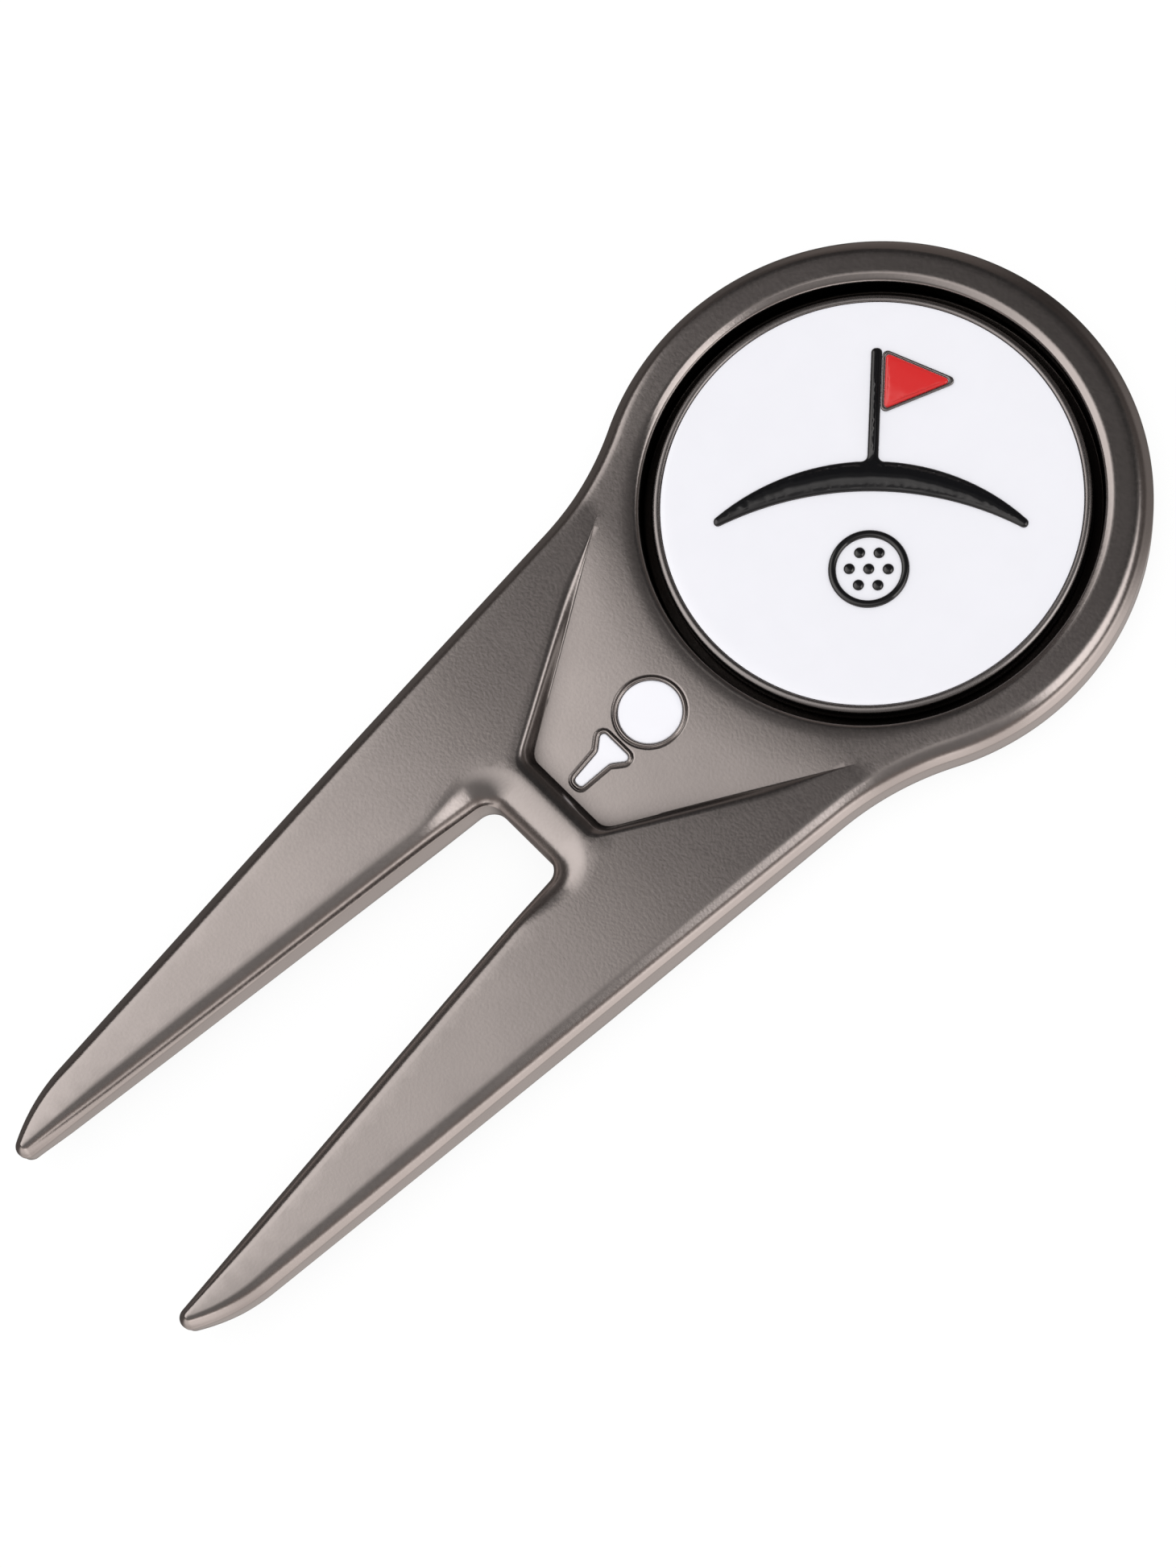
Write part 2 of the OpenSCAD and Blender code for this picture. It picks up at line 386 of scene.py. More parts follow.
def swell(shell, first_face, first_point, crown):
    """Lifts the newest points like a blown film held at its border, by crown at the highest."""
    links = {(face[i], face[i - 1]) for face in shell.faces[first_face:] for i in range(3)}
    links = np.array(sorted(links | {(b, a) for a, b in links}))
    lift = np.zeros(len(shell.points))
    count = np.maximum(np.bincount(links[:, 0], minlength=len(lift)), 1)
    for _ in range(500):
        lift = np.bincount(links[:, 0], weights=lift[links[:, 1]], minlength=len(lift)) / count + 1
        lift[:first_point] = 0
    lift *= crown / lift.max()
    for i in range(first_point, len(lift)):
        x, y, z = shell.points[i]
        shell.points[i] = (x, y, z + lift[i])


# ---------- fork ----------

def slot_x(reach):
    return SLOT_HALF_W + (reach - SLOT_REACH) * math.tan(SLOT_LEAN)


def fork_side():
    """Right half of the fork's outline, from the slot's end round the tip to the head's top."""
    out = np.array((math.cos(EDGE_LEAN), -math.sin(EDGE_LEAN)))
    down = np.array((-math.sin(EDGE_LEAN), -math.cos(EDGE_LEAN)))
    lean = math.degrees(SLOT_LEAN)
    edge_lean = math.degrees(EDGE_LEAN)

    corner = (slot_x(SLOT_REACH + SLOT_CORNER_R) - SLOT_CORNER_R / math.cos(SLOT_LEAN),
              -SLOT_REACH - SLOT_CORNER_R)
    corner_arc = arc(corner, SLOT_CORNER_R, 90, lean, 10)

    tip = np.array((slot_x(TIP_REACH - TIP_R) + TIP_R / math.cos(SLOT_LEAN), TIP_R - TIP_REACH))
    base = np.array((EDGE_AT_CENTRE, 0)) - out * TIP_CURVE_R
    away = tip - base
    along = away @ down - math.sqrt((TIP_CURVE_R - TIP_R) ** 2 - (away @ out) ** 2)
    curve = base + down * along
    meet = math.degrees(math.atan2(*(tip - curve)[::-1]))
    tip_arc = arc(tip, TIP_R, lean - 180, meet, 14)
    curve_arc = arc(curve, TIP_CURVE_R, meet, -edge_lean, 20)[1:]

    gap = EDGE_AT_CENTRE * math.cos(EDGE_LEAN) + BLEND_R
    blend = out * gap + down * math.sqrt((HEAD_R + BLEND_R) ** 2 - gap ** 2)
    join = math.degrees(math.atan2(-blend[1], -blend[0]))
    blend_arc = arc(blend, BLEND_R, 180 - edge_lean, join, 20)
    head_arc = arc((0, 0), HEAD_R, join - 180, 90, 80)[1:]

    points = line((0, -SLOT_REACH), corner_arc[0], 0.4)
    points += corner_arc[:-1] + line(corner_arc[-1], tip_arc[0], 0.6)
    points += tip_arc + curve_arc[:-1] + line(curve_arc[-1], blend_arc[0], 0.7)
    return points + blend_arc + head_arc


def fork_outline():
    right = fork_side()
    left = [(-x, y) for x, y in right[1:-1]][::-1]
    return right + left


def rise(reach):
    """Height of the fork's top above the ring face."""
    slope = (PRONG_T - HEAD_T) / (RISE_BEND - RISE_START + (RISE_END - RISE_BEND) / 2)
    if reach <= RISE_START:
        return 0.0
    if reach <= RISE_BEND:
        return slope * (reach - RISE_START)
    if reach >= RISE_END:
        return PRONG_T - HEAD_T
    past = reach - RISE_BEND
    return slope * (RISE_BEND - RISE_START + past - past ** 2 / 2 / (RISE_END - RISE_BEND))


def roll(x, y):
    """Drop of the ring face where it rolls in towards the recess, more broadly by the neck."""
    neck = ease((-y - NECK_ROLL_START) / NECK_ROLL_FADE)
    drop = 0.0
    for broader in (NECK_ROLL, NECK_LIP_ROLL):
        radius = ROLL_R + broader * neck
        short = max(0.0, radius - math.hypot(x, y)) / (radius - LIP_R)
        drop += ROLL_DROP / 2 * short ** 2
    return drop


def wing_z(x, y):
    return HEAD_T + rise(-y) - roll(x, y)


def shield_z(x, y):
    """Height of the shield, which falls away from the head and is slightly crowned."""
    past = max(0.0, -y - RISE_START)
    crown = SHIELD_CROWN * x ** 2 * ease(past / SHIELD_CROWN_FADE)
    return HEAD_T - SHIELD_FALL * past ** 2 - crown - roll(x, y)


def back_z(x, y):
    """Height of the underside, which is flat as far as the prongs' ramp."""
    past = max(0.0, -y - RAMP_REACH) / (TIP_REACH - RAMP_REACH)
    return TIP_LIFT * past ** RAMP_CURVE


def is_slot(x, y):
    """Whether an outline point is on the slot's side of a prong."""
    reach = -y
    nearly = 0.01
    margin = 0.12
    return reach >= SLOT_REACH - nearly and abs(x) < slot_x(reach) + margin


def top_edge(x, y):
    """Width and drop of the rounding along the fork's top edge."""
    reach = -y
    width = steps_between(reach, TOP_WIDTHS)
    drop = steps_between(reach, TOP_DROPS)
    if not is_slot(x, y):
        return width, drop
    lip = 1 - ease((reach - SLOT_REACH) / SLOT_LIP_FADE)
    return width + (SLOT_LIP_W - width) * lip, drop + (SLOT_LIP_DROP - drop) * lip


def back_edge(x, y):
    """Width and height of the rounding along the fork's bottom edge."""
    return steps_between(-y, BACK_WIDTHS), steps_between(-y, BACK_HEIGHTS)


def shield_line(wide, deep):
    """Shield border moved outwards: by up to wide at the sides and deep at the slot's end.

    Returns (x, y) points from the right end of the border to the left one.
    """
    lean = (SHIELD_TOP_X - SHIELD_TIP_X) / (SHIELD_TIP_REACH - RISE_START)
    low = SHIELD_TIP_REACH + deep
    steps = 20
    side = []
    for i in range(steps + 1):
        reach = RISE_START + (low - RISE_START) * i / steps
        out = wide * ease((reach - RISE_START) / SHIELD_WALL_FADE) * math.hypot(1, lean)
        side.append((SHIELD_TOP_X - lean * (reach - RISE_START) + out, -reach))
    corner = np.array(side[-1])
    start = np.array(side[-2])
    end = corner - (SHIELD_CORNER, 0)
    bend = []
    for t in np.linspace(0, 1, 8)[1:]:
        bend.append(tuple(start * (1 - t) ** 2 + corner * 2 * t * (1 - t) + end * t ** 2))
    base = [(end[0] * (1 - i / 4), -low) for i in range(1, 8)]
    half = side[:-1] + bend
    return half + base + [(-x, y) for x, y in half[::-1]]


def shield_lines():
    """Polylines up the shield's wall, from its foot to the wing."""
    paths = []
    for wide, deep, up in WALL_STEPS:
        path = []
        for x, y in shield_line(wide, deep):
            foot = shield_z(x, y)
            path.append((x, y, foot + (wing_z(x, y) - foot) * up))
        paths.append(path)
    return paths


def emblem_outlines():
    """Ball and tee, each as a counterclockwise outline."""
    ball = circle((0, -EMBLEM_BALL_REACH), EMBLEM_BALL_R, 64)
    cup_w, cup_reach = 1.35, 19.95
    stem_w, stem_reach = 0.5, 21.0
    point_w, point_reach = 0.32, 23.1
    tee = rounded([(cup_w, -cup_reach, 0.25), (-cup_w, -cup_reach, 0.25),
                   (-stem_w, -stem_reach, 0.6), (-point_w, -point_reach, 0.25),
                   (point_w, -point_reach, 0.25), (stem_w, -stem_reach, 0.6)])
    return [ball, tee]


def hex_points(x0, y0, x1, y1, step):
    """Points of a triangular grid that fills a rectangle."""
    points = []
    row = 0
    y = y0
    while y < y1:
        x = x0 + (row % 2) * step / 2
        while x < x1:
            points.append((x, y))
            x += step
        y += step * 0.866
        row += 1
    return np.array(points)


def clear_of(points, others, distance):
    """The points that keep a distance from all the others."""
    others = np.array(others)
    return np.array([p for p in points if np.hypot(*(others - p).T).min() > distance])


def fork_top(shell, outer, lip):
    """Fills the fork's top face between the edge rounding and the recess."""
    paths = shield_lines()
    holes = [lip]
    for outline in emblem_outlines():
        rings = []
        rings.append(shell.ring(outline, [shield_z(x, y) - EMBLEM_DEPTH for x, y in outline]))
        rings.append(shell.ring(outline, [shield_z(x, y) for x, y in outline]))
        for out, up in RIM_STEPS:
            moved = offset(outline, -out)
            rings.append(shell.ring(moved, [shield_z(x, y) + up for x, y in moved]))
        holes.append(shell.stack(rings))
        shell.fill(rings[0], height=lambda x, y: shield_z(x, y) - EMBLEM_DEPTH)
    fixed = [p for ring in (outer, *holes) for p in shell.flat(ring)]
    fixed += [p[:2] for path in paths for p in path]

    # Close rings round the recess, and a coarser grid over the neck and the prongs
    spare = [p for r in RING_RADII for p in circle((0, 0), r, 180)]
    spare = list(clear_of(spare, fixed, 0.1))
    grid = clear_of(hex_points(-13, -59, 13, 0, 0.8), fixed, 0.3)
    spare = np.array(spare + [p for p in grid if math.hypot(*p) > RING_RADII[-1] + 0.3])
    spare = spare[inside(spare, shell.flat(outer))]
    foot = [p[:2] for p in paths[0]]
    top = [p[:2] for p in paths[-1]]
    spare = spare[inside(spare, foot) | ~inside(spare, top)]
    for hole in holes:
        spare = spare[~inside(spare, shell.flat(hole))]

    def height(x, y):
        return shield_z(x, y) if inside((x, y), foot)[0] else wing_z(x, y)

    shell.fill(outer, holes, paths, spare, height)


def fork_recess(shell):
    """Wall and floor of the marker's recess and the magnet's pocket; returns the lip's ring."""
    lip_z = HEAD_T - ROLL_DROP
    lip = [(LIP_R, lip_z), (LIP_R - 0.1, lip_z - 0.03), (LIP_R - 0.19, lip_z - 0.09),
           (LIP_R - 0.26, lip_z - 0.18), (SEAT_R, lip_z - 0.32)]
    seat = [(SEAT_R, SEAT_Z + 0.2), (SEAT_R - 0.06, SEAT_Z + 0.06), (SEAT_R - 0.2, SEAT_Z), (9.5, SEAT_Z)]
    pocket = [(POCKET_R + 0.32, SEAT_Z), (POCKET_R + 0.2, SEAT_Z - 0.04),
              (POCKET_R + 0.05, SEAT_Z - 0.12), (POCKET_R, SEAT_Z - 0.22), (POCKET_R, POCKET_Z)]
    profile = lip + seat + pocket
    rings = [shell.ring(circle((0, 0), r, 180), z) for r, z in profile]
    shell.fan(shell.stack(rings), (0, 0, POCKET_Z))
    return rings[0]


def fork_shell():
    outline = fork_outline()
    normals = inward(outline)
    points = np.array(outline)
    top_w = np.array([top_edge(x, y)[0] for x, y in outline])
    top_h = np.array([top_edge(x, y)[1] for x, y in outline])
    top = np.array([wing_z(*(p + n * w)) for p, n, w in zip(points, normals, top_w)])
    low = np.array([back_z(*p) for p in points])
    under = np.array([back_edge(x, y) for x, y in outline])

    shell = Shell()
    rings = []
    for degrees in (90, 67.5, 45, 22.5, 0):
        a = math.radians(degrees)
        move = under[:, 0] * (1 - math.cos(a)) + WALL_DRAFT
        flat = points + normals * move[:, None]
        rings.append(shell.ring(flat, low + under[:, 1] * (1 - math.sin(a))))
    back = rings[0]
    seam = top - top_h
    seam_in = SEAM_R * (1 - math.sin(math.radians(ROUND_END)))
    rings.append(shell.ring(points + normals * BELT_INSET, seam - BELT_DROP))
    for degrees in (90, 81, 72):
        a = math.radians(degrees)
        turn = SEAM_R * (math.cos(math.radians(ROUND_END)) - math.cos(a))
        rings.append(shell.ring(points + normals * SEAM_R * (1 - math.sin(a)), seam - turn))
    for degrees in (ROUND_END, 55, 47, 39, 31, 23, 15, 7, 0):
        a = math.radians(degrees)
        share = math.sin(a) / math.sin(math.radians(ROUND_END))
        fall = (1 - math.cos(a)) / (1 - math.cos(math.radians(ROUND_END)))
        flat = points + normals * (seam_in + (top_w - seam_in) * (1 - share))[:, None]
        rings.append(shell.ring(flat, top - top_h * fall))
    shell.stack(rings)
    fork_top(shell, rings[-1], fork_recess(shell))

    spare = hex_points(-15, -58, 15, 15, 1.6)
    spare = clear_of(spare, shell.flat(back), 0.6)
    spare = spare[inside(spare, shell.flat(back))]
    shell.fill(back, spare=spare, height=back_z)
    return shell


def neck_enamel_shell():
    """Ball and tee filled with enamel, following the shield's slope."""
    shell = Shell()
    for outline in emblem_outlines():
        pillow(shell, offset(outline, 0.01), [], HEAD_T - 0.4, HEAD_T - 0.005, 0.1, 0.05)
    shell.points = [(x, y, z - HEAD_T + shield_z(x, y)) for x, y, z in shell.points]
    return shell


# ---------- magnet ----------

def magnet_shell():
    low_edge = [(MAGNET_R - 0.1, MAGNET_LOW), (MAGNET_R, MAGNET_LOW + 0.1)]
    top_edges = [(MAGNET_R, MAGNET_TOP - 0.13), (MAGNET_R - 0.04, MAGNET_TOP - 0.05),
                 (MAGNET_R - 0.13, MAGNET_TOP)]
    return lathe([(0, MAGNET_LOW), *low_edge, *top_edges, (MAGNET_R / 2, MAGNET_TOP), (0, MAGNET_TOP)], 128)


def adhesive_shell():
    """Bonding layer with the bead it leaves in the chamfer round the magnet."""
    outside = [(POCKET_R - 0.01, POCKET_Z), (POCKET_R - 0.01, SEAT_Z - 0.2)]
    bead = [(POCKET_R + 0.06, SEAT_Z - 0.1), (POCKET_R + 0.17, SEAT_Z - 0.05),
            (POCKET_R + 0.08, SEAT_Z - 0.06), (MAGNET_R + 0.02, SEAT_Z - 0.1)]
    cup = [(MAGNET_R + 0.01, MAGNET_LOW + 0.1), (MAGNET_R - 0.09, MAGNET_LOW)]
    return lathe([(0, POCKET_Z), *outside, *bead, *cup, (0, MAGNET_LOW)], 128)


# ---------- marker ----------

def marker_base_shell():
    """Stamped dish: a rounded rim round a level floor."""
    foot = [(10, SEAT_Z), (MARKER_R - 0.25, SEAT_Z), (MARKER_R - 0.07, SEAT_Z + 0.07),
            (MARKER_R, SEAT_Z + 0.25)]
    rim_out = [(MARKER_R, MARKER_TOP - 0.28), (MARKER_R - 0.03, MARKER_TOP - 0.16),
               (MARKER_R - 0.1, MARKER_TOP - 0.05), (MARKER_R - 0.24, MARKER_TOP)]
    rim_in = [(FILL_R + 0.12, MARKER_TOP), (FILL_R + 0.03, MARKER_TOP - 0.04),
              (FILL_R, MARKER_TOP - 0.12)]
    well = [(FILL_R, FILL_Z), (FILL_R / 2, FILL_Z)]
    return lathe([(0, SEAT_Z), *foot, *rim_out, *rim_in, *well, (0, FILL_Z)], 192)


def white_shell():
    """White enamel, drawn down a little where it meets the rim."""
    low = FILL_Z + 0.01
    side = FILL_R - 0.02
    meniscus = [(side, FILL_TOP - 0.03), (FILL_R - 0.1, FILL_TOP - 0.012),
                (FILL_R - 0.3, FILL_TOP - 0.002), (FILL_R - 0.8, FILL_TOP)]
    return lathe([(0, low), (side, low), *meniscus, (FILL_R / 2, FILL_TOP), (0, FILL_TOP)], 192)


def green_outline():
    """Arched green with the flagstick rising from it.

    The arch's top runs from low at its ends to high in the middle, and its underside reaches under.
    """
    half_w = 8.9
    end = 0.6
    low = -1.1
    high = 2.4
    under = 0.6
    top_r = (half_w ** 2 + (high - low) ** 2) / (2 * (high - low))
    under_r = (half_w ** 2 + (under - low + end) ** 2) / (2 * (under - low + end))

    def top_y(x):
        return high - top_r + math.sqrt(top_r ** 2 - x ** 2)

    def under_y(x):
        return under - under_r + math.sqrt(under_r ** 2 - x ** 2)

    stick = 0.32
    stick_top = 9.2
    xs = np.linspace(stick + 0.6, half_w - 0.6, 16)
    right = [(half_w, top_y(half_w), 0.26)]
    right += [(x, top_y(x), 0) for x in xs[::-1]]
    right += [(stick, top_y(stick), 0.35), (stick, stick_top, 0.28)]
    left = [(-x, y, r) for x, y, r in right[::-1]]
    below = [(-half_w, under_y(half_w), 0.26)]
    below += [(x, under_y(x), 0) for x in np.linspace(-half_w + 0.6, half_w - 0.6, 34)]
    return rounded(right + left + below + [(half_w, under_y(half_w), 0.26)])


def pennant(grow):
    """Pennant beside the flagstick, moved outwards by grow."""
    middle = 7.2
    half_h = 1.7
    length = 3.9
    slant = math.atan2(half_h, length)
    side = half_h + grow / math.cos(slant) + grow * math.tan(slant)
    x = 0.52 - grow
    point_x = x + length + grow + grow / math.sin(slant)
    radius = 0.2 + grow * 0.5
    return rounded([(x, middle - side, radius), (point_x, middle, radius), (x, middle + side, radius)])


def on_marker(points):
    return turned(points, MARKER_TURN)


def black_shell():
    shell = Shell()
    low = FILL_TOP - MOTIF_SUNK
    high = FILL_TOP + 0.15
    pillow(shell, on_marker(green_outline()), [], low, high, 0.22, 0.15, 0.16)
    centre = (0, -4)
    ball_r = 2.3
    ball_inner_r = 1.85
    dimple_r = 0.32
    dimple_ring_r = 1.1
    ball = on_marker(circle(centre, ball_r, 72))
    hole = on_marker(circle(centre, ball_inner_r, 72))
    pillow(shell, ball, [hole], low, high, 0.17, 0.15)
    for spot in [centre] + circle(centre, dimple_ring_r, 6):
        pillow(shell, on_marker(circle(spot, dimple_r, 28)), [], low, high - 0.02, 0.24, 0.12)
    return shell


def pennant_rim_shell():
    """Plated wall round the red enamel."""
    shell = Shell()
    outside = on_marker(pennant(0.18))
    inner = on_marker(pennant(0.02))
    pillow(shell, outside, [inner], FILL_TOP - MOTIF_SUNK, FILL_TOP + 0.1, 0.06, 0.06)
    return shell


def red_shell():
    shell = Shell()
    pillow(shell, on_marker(pennant(0)), [], FILL_TOP - MOTIF_SUNK, FILL_TOP + 0.12, 0.17, 0.1, 0.1)
    return shell


# ---------- materials ----------

class Nodes:
    """Small helper that adds and links shader nodes."""

    def __init__(self, tree):
        self.tree = tree

    def add(self, kind, **values):
        node = self.tree.nodes.new(kind)
        for key, value in values.items():
            if hasattr(node, key) and key not in node.inputs:
                setattr(node, key, value)
        for key, value in values.items():
            if key in node.inputs:
                self.join(value, node.inputs[key])
        return node

    def join(self, value, socket):
        if isinstance(value, bpy.types.NodeSocket):
            self.tree.links.new(value, socket)
        else:
            socket.default_value = value

    def math(self, operation, *values):
        node = self.tree.nodes.new("ShaderNodeMath")
        node.operation = operation
        for socket, value in zip(node.inputs, values):
            self.join(value, socket)
        return node.outputs[0]

    def span(self, value, low, high, to_low=0.0, to_high=1.0):
        """Smooth step from to_low to to_high as the value goes from low to high."""
        node = self.tree.nodes.new("ShaderNodeMapRange")
        node.interpolation_type = "SMOOTHSTEP"
        for socket, item in zip(node.inputs, (value, low, high, to_low, to_high)):
            self.join(item, socket)
        return node.outputs[0]

    def mix(self, factor, a, b):
        node = self.tree.nodes.new("ShaderNodeMix")
        node.data_type = "RGBA"
        for socket, item in zip((node.inputs[0], node.inputs[6], node.inputs[7]), (factor, a, b)):
            self.join(item, socket)
        return node.outputs[2]


def new_material(name):
    """A material with its nodes helper, shader and a coordinate in millimetres."""
    material = bpy.data.materials.new(name)
    material.use_nodes = True
    nodes = Nodes(material.node_tree)
    shader = material.node_tree.nodes["Principled BSDF"]
    place = nodes.add("ShaderNodeTexCoord").outputs["Object"]
    scale = nodes.add("ShaderNodeMapping", Vector=place, Scale=(1000, 1000, 1000))
    return material, nodes, shader, scale.outputs[0]


def noise(nodes, place, scale, detail=2.0):
    node = nodes.add("ShaderNodeTexNoise", Vector=place, Scale=scale, Detail=detail)
    return node.outputs["Fac"]


def cast_plating(name, colour, roughness, grain, painted_gap_shade=1.0):
    """Satin black-nickel plating with a fine grain and a few pits; the last argument sets how strongly
    painted shade darkens the colour in narrow gaps.
    """
    material, nodes, shader, place = new_material(name)
    broad = noise(nodes, place, 0.22, 3)
    fine = noise(nodes, place, 5.5, 4)
    dark = tuple(c * 0.97 for c in colour) + (1,)
    light = tuple(min(1, c * 1.03) for c in colour) + (1,)
    tone = nodes.mix(nodes.span(broad, 0.3, 0.7), dark, light)
    spots = nodes.add("ShaderNodeTexVoronoi", Vector=place, Scale=0.42, Randomness=1.0)
    pit = nodes.span(spots.outputs["Distance"], 0.02, 0.04, 1, 0)
    chance = nodes.add("ShaderNodeSeparateColor", Color=spots.outputs["Color"]).outputs[0]
    pit = nodes.math("MULTIPLY", pit, nodes.span(chance, 0.78, 0.8))
    pit_dark = nodes.math("MULTIPLY", pit, 0.45)
    tone = nodes.mix(pit_dark, tone, (0.05, 0.045, 0.04, 1))
    # Painted shade: the colour is darkened towards near black where ambient occlusion finds narrow gaps,
    # crevices and recesses
    shade = nodes.add("ShaderNodeAmbientOcclusion", Distance=0.0014, samples=6).outputs["AO"]
    tone = nodes.mix(nodes.span(shade, 0.5, 0.96, painted_gap_shade, 0), tone, (0.012, 0.01, 0.009, 1))
    height = nodes.math("SUBTRACT", nodes.math("MULTIPLY", fine, 0.6), pit)
    bump = nodes.add("ShaderNodeBump", Height=height, Strength=grain, Distance=0.00002)
    nodes.join(tone, shader.inputs["Base Color"])
    nodes.join(1.0, shader.inputs["Metallic"])
    nodes.join(nodes.span(fine, 0.25, 0.75, roughness - 0.02, roughness + 0.02), shader.inputs["Roughness"])
    nodes.join(bump.outputs[0], shader.inputs["Normal"])
    return material


def enamel(name, colour, roughness=0.09, wave=0.12):
    """Glossy fired enamel with a slight unevenness left by pouring."""
    material, nodes, shader, place = new_material(name)
    broad = noise(nodes, place, 0.5, 2)
    fine = noise(nodes, place, 3.0, 2)
    low = tuple(c * 0.99 for c in colour) + (1,)
    tone = nodes.mix(nodes.span(broad, 0.3, 0.7), low, colour + (1,))
    bump = nodes.add("ShaderNodeBump", Height=fine, Strength=wave, Distance=0.00002)
    nodes.join(tone, shader.inputs["Base Color"])
    nodes.join(nodes.span(fine, 0.3, 0.7, roughness, roughness + 0.04), shader.inputs["Roughness"])
    nodes.join(bump.outputs[0], shader.inputs["Normal"])
    nodes.join(0.5, shader.inputs["Coat Weight"])
    nodes.join(0.05, shader.inputs["Coat Roughness"])
    return material


def nickel(name):
    """Bright nickel on the magnet, with fine rubbing marks."""
    material, nodes, shader, place = new_material(name)
    drawn_out = nodes.add("ShaderNodeMapping", Vector=place, Scale=(9, 0.5, 1)).outputs[0]
    marks = noise(nodes, drawn_out, 2.0, 3.0)
    smudge = noise(nodes, place, 0.7, 3)
    bump = nodes.add("ShaderNodeBump", Height=marks, Strength=0.15, Distance=0.00001)
    nodes.join(nodes.mix(smudge, (0.72, 0.7, 0.66, 1), (0.82, 0.8, 0.76, 1)), shader.inputs["Base Color"])
    nodes.join(1.0, shader.inputs["Metallic"])
    nodes.join(nodes.span(smudge, 0.3, 0.7, 0.14, 0.3), shader.inputs["Roughness"])
    nodes.join(bump.outputs[0], shader.inputs["Normal"])
    return material


def epoxy(name):
    """Cloudy amber adhesive."""
    material, nodes, shader, place = new_material(name)
    cloud = noise(nodes, place, 1.2, 3)
    nodes.join(nodes.mix(cloud, (0.62, 0.5, 0.26, 1), (0.78, 0.68, 0.42, 1)), shader.inputs["Base Color"])
    nodes.join(nodes.span(cloud, 0.3, 0.7, 0.2, 0.35), shader.inputs["Roughness"])
    nodes.join(0.3, shader.inputs["Subsurface Weight"])
    nodes.join(0.0003, shader.inputs["Subsurface Scale"])
    return material


# ---------- stage ----------

def studio():
    """World light: even white for matte surfaces, a bright low side and dark cards for reflections."""
    world = bpy.data.worlds.new("studio")
    bpy.context.scene.world = world
    world.use_nodes = True
    nodes = Nodes(world.node_tree)
    place = nodes.add("ShaderNodeTexCoord").outputs["Generated"]
    split = nodes.add("ShaderNodeSeparateXYZ", Vector=place)
    x, y, z = split.outputs

    # A bright wall low on the right with a dark gap in it, and a ground weaker straight down
    gap = nodes.math("MAXIMUM", nodes.span(y, -0.14, -0.02), nodes.span(y, -0.25, -0.5))
    side = nodes.math("MULTIPLY", nodes.span(x, 0.4, 0.75), nodes.span(z, 0.34, 0.14))
    side = nodes.math("MULTIPLY", nodes.math("MULTIPLY", side, nodes.span(z, 0.0, 0.1, 0.3, 1.0)), gap)
    ground = nodes.math("MULTIPLY", nodes.span(z, 0.3, 0.05), nodes.span(x, -0.35, 0.1, 0.08, 1.0))
    ground = nodes.math("MULTIPLY", ground, nodes.span(z, -0.9, -0.3, 0.38, 0.92))
    bright = nodes.math("MULTIPLY", nodes.math("ADD", side, ground), nodes.span(y, 0.8, 0.45, 0.2, 1.0))
    # A dim ceiling, darker on the left, with a pale card at the far left
    dim = nodes.math("MULTIPLY", nodes.span(x, -0.6, 0.3, 0.07, 0.26), nodes.span(y, 0.25, 0.5, 1.0, 0.4))
    card = nodes.math("MULTIPLY", nodes.span(x, -0.35, -0.6, 0.0, 0.13), nodes.span(y, 0.3, 0.6))
    dim = nodes.math("ADD", dim, nodes.math("MULTIPLY", card, nodes.span(z, 0.75, 0.55)))

    # Glossy rays see those lights, tinted, and all other rays see plain white
    path = nodes.add("ShaderNodeLightPath").outputs["Is Glossy Ray"]
    lit = nodes.add("ShaderNodeMix", data_type="RGBA", Factor=path)
    nodes.join((1, 1, 1, 1), lit.inputs[6])
    warm = nodes.add("ShaderNodeVectorMath", operation="SCALE", Scale=dim)
    nodes.join((1.12, 0.97, 0.9), warm.inputs[0])
    pale = nodes.add("ShaderNodeVectorMath", operation="SCALE", Scale=bright)
    nodes.join((1.03, 0.98, 0.95), pale.inputs[0])
    total = nodes.add("ShaderNodeVectorMath", operation="ADD")
    nodes.join(warm.outputs[0], total.inputs[0])
    nodes.join(pale.outputs[0], total.inputs[1])
    nodes.join(total.outputs[0], lit.inputs[7])
    background = world.node_tree.nodes["Background"]
    nodes.join(lit.outputs[2], background.inputs["Color"])
    nodes.join(1.0, background.inputs["Strength"])


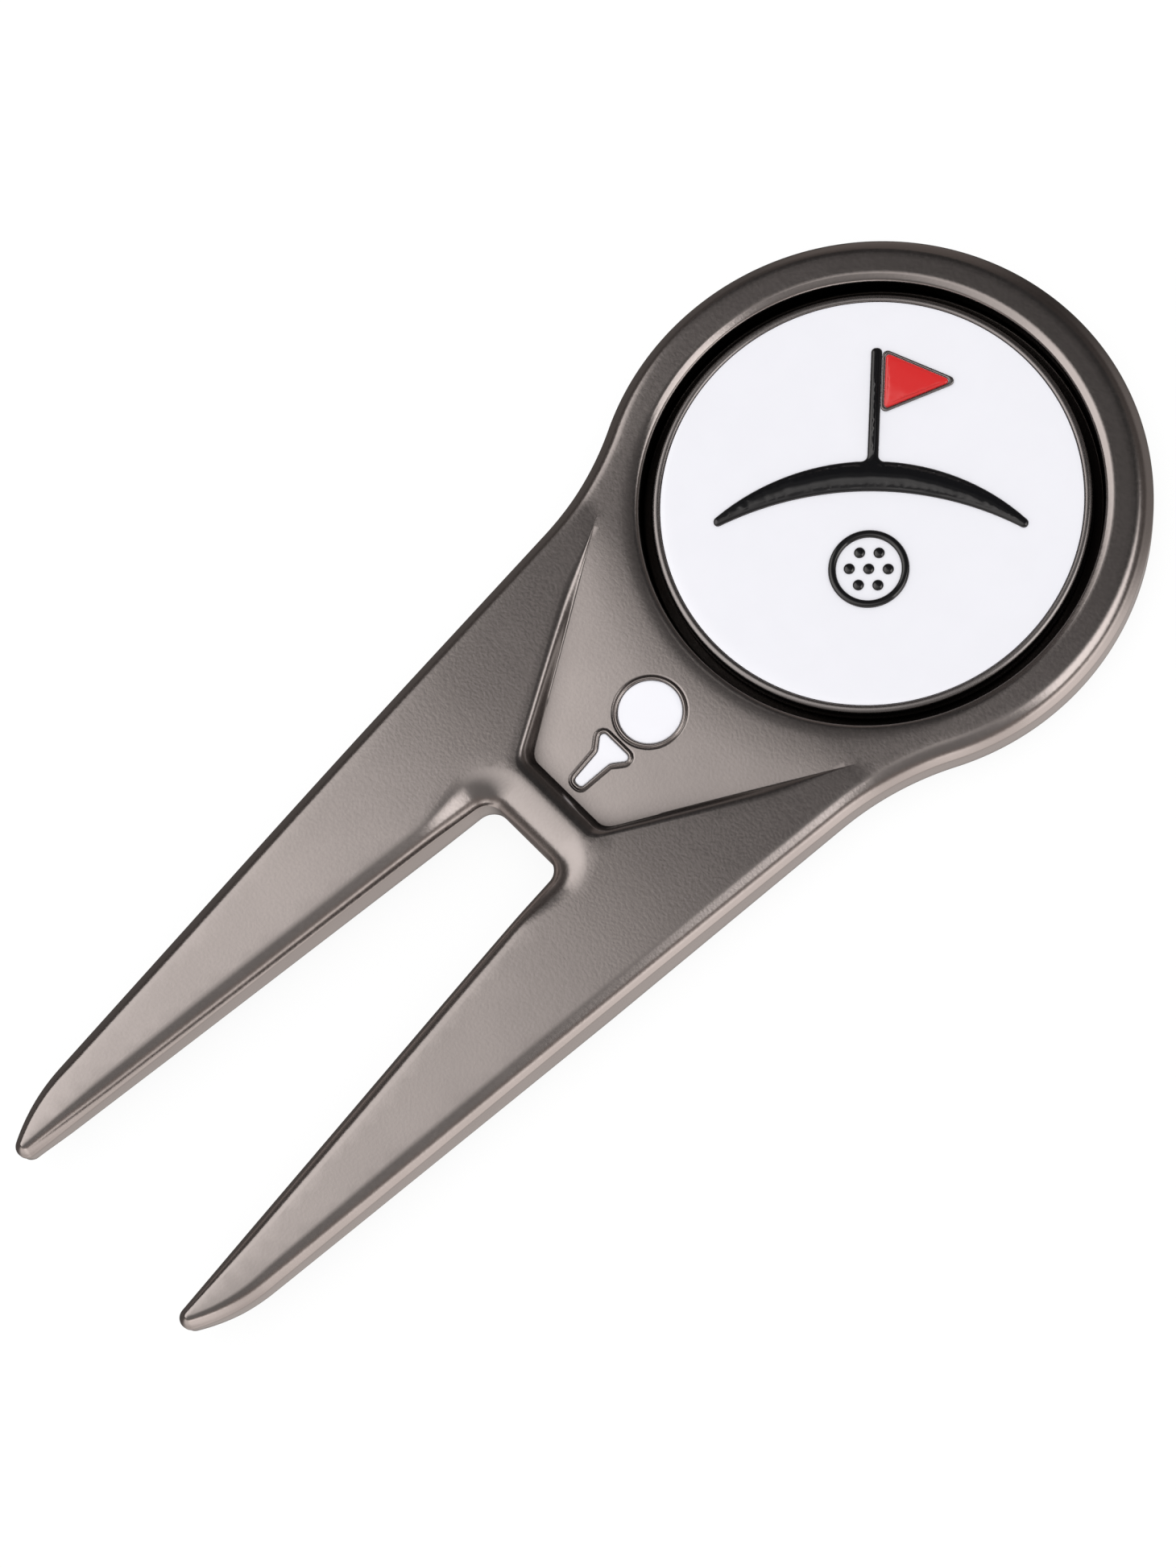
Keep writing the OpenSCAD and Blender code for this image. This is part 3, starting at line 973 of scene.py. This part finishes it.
def softbox():
    """Level light panel 0.3 m over the tool, seen only in reflections.

    It is brightest over the prongs and to the right of the head, and dark over the head itself.
    """
    x0, x1, y0, y1, z = -0.45, 0.5, -0.6, 0.3, 0.3
    mesh = bpy.data.meshes.new("softbox")
    mesh.from_pydata([(x0, y0, z), (x1, y0, z), (x1, y1, z), (x0, y1, z)], [], [(0, 3, 2, 1)])
    panel = bpy.data.objects.new("softbox", mesh)
    bpy.context.scene.collection.objects.link(panel)
    material = bpy.data.materials.new("softbox")
    material.use_nodes = True
    nodes = Nodes(material.node_tree)
    place = nodes.add("ShaderNodeTexCoord").outputs["Object"]
    x, y, _ = nodes.add("ShaderNodeSeparateXYZ", Vector=place).outputs

    # Over the prongs, fading towards the right
    over = nodes.math("ADD", nodes.span(y, 0.04, 0.0), nodes.span(y, -0.015, -0.055, 0.0, 0.24))
    over = nodes.math("MULTIPLY", over, nodes.span(x, -0.06, -0.12, 0.8, 1.2))
    over = nodes.math("MULTIPLY", over, nodes.span(x, -0.07, 0.12, 1.0, 0.0))
    # To the right of the head
    side = nodes.math("MULTIPLY", nodes.span(x, 0.04, 0.15, 0.0, 2.1), nodes.span(y, 0.014, 0.036))
    side = nodes.math("MULTIPLY", side, nodes.span(y, 0.3, 0.22))
    # A dim glow everywhere, least beyond the head
    base = nodes.math("MULTIPLY", nodes.span(x, -0.05, 0.1, 0.1, 0.27), nodes.span(y, 0.07, 0.105, 1.0, 0.3))
    level = nodes.math("ADD", nodes.math("ADD", over, side), base)

    light = nodes.add("ShaderNodeEmission", Color=(1.0, 0.96, 0.94, 1), Strength=level)
    nodes.join(light.outputs[0], material.node_tree.nodes["Material Output"].inputs["Surface"])
    mesh.materials.append(material)
    panel.visible_camera = False
    panel.visible_diffuse = False
    panel.visible_transmission = False
    panel.visible_shadow = False


def floor():
    """Pale table under the tool; reflections see the studio instead of it."""
    mesh = bpy.data.meshes.new("floor")
    far = 4
    corners = [(-far, -far, 0), (far, -far, 0), (far, far, 0), (-far, far, 0)]
    mesh.from_pydata(corners, [], [(0, 1, 2, 3)])
    table = bpy.data.objects.new("floor", mesh)
    bpy.context.scene.collection.objects.link(table)
    table.location.z = -0.00005
    material = bpy.data.materials.new("floor")
    material.use_nodes = True
    nodes = Nodes(material.node_tree)
    glow = nodes.add("ShaderNodeEmission", Color=(1, 1, 1, 1), Strength=0.9)
    matte = nodes.add("ShaderNodeBsdfDiffuse", Color=(0.13, 0.13, 0.13, 1))
    both = nodes.add("ShaderNodeAddShader")
    nodes.join(glow.outputs[0], both.inputs[0])
    nodes.join(matte.outputs[0], both.inputs[1])
    nodes.join(both.outputs[0], material.node_tree.nodes["Material Output"].inputs["Surface"])
    mesh.materials.append(material)
    table.visible_glossy = False


def camera():
    """Looks down steeply from the right of the tool, with the prongs towards the picture's lower left."""
    place = Vector((98.48, -57.05, 324.48)) * MM
    data = bpy.data.cameras.new("view")
    data.sensor_fit = "VERTICAL"
    data.sensor_height = 36
    data.lens = 138.7
    data.clip_start = 0.01
    eye = bpy.data.objects.new("view", data)
    bpy.context.scene.collection.objects.link(eye)
    right = Vector((0.684, 0.7175, -0.1318)).normalized()
    back = Vector((0.29, -0.1017, 0.9516)).normalized()
    up = back.cross(right).normalized()
    right = up.cross(back)
    turn = Matrix((right, up, back)).transposed().to_4x4()
    eye.matrix_world = Matrix.Translation(place) @ turn
    bpy.context.scene.camera = eye


# ---------- assembly ----------

# Both platings carry painted shade in their gaps; the marker's last argument weakens it to 0.85
gunmetal = cast_plating("gunmetal_plating", (0.365, 0.334, 0.322), 0.21, 0.3)
marker_metal = cast_plating("marker_metal", (0.3, 0.28, 0.275), 0.27, 0.15, 0.85)
white = enamel("white_enamel", (0.955, 0.95, 1.0))
red = enamel("red_enamel", (0.72, 0.03, 0.03))
black = enamel("black_enamel", (0.006, 0.006, 0.007), 0.08, 0.04)

pieces = [
    ("fork_cast", fork_shell(), gunmetal, "tool", "fork_body", "gunmetal_plating"),
    ("emblem_fill", neck_enamel_shell(), white, "tool", "neck_enamel", "white_enamel"),
    ("magnet_disc", magnet_shell(), nickel("magnet_nickel"), "tool", "magnet", "magnet_nickel"),
    ("magnet_bond", adhesive_shell(), epoxy("adhesive"), "tool", "magnet_adhesive", "adhesive"),
    ("marker_dish", marker_base_shell(), marker_metal, "marker", "marker_base", "marker_metal"),
    ("marker_white", white_shell(), white, "marker", "marker_enamel_white", "white_enamel"),
    ("marker_black", black_shell(), black, "marker", "marker_enamel_black", "black_enamel"),
    ("marker_red", red_shell(), red, "marker", "marker_enamel_red", "red_enamel"),
    ("marker_pennant_rim", pennant_rim_shell(), marker_metal, "marker", None, "marker_metal"),
]
for name, shell, material, body, node, slot in pieces:
    piece = shell.make(name, material)
    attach(piece, body)
    if node:
        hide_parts(node)

studio()
softbox()
floor()
camera()
bpy.context.scene.view_settings.view_transform = "Standard"
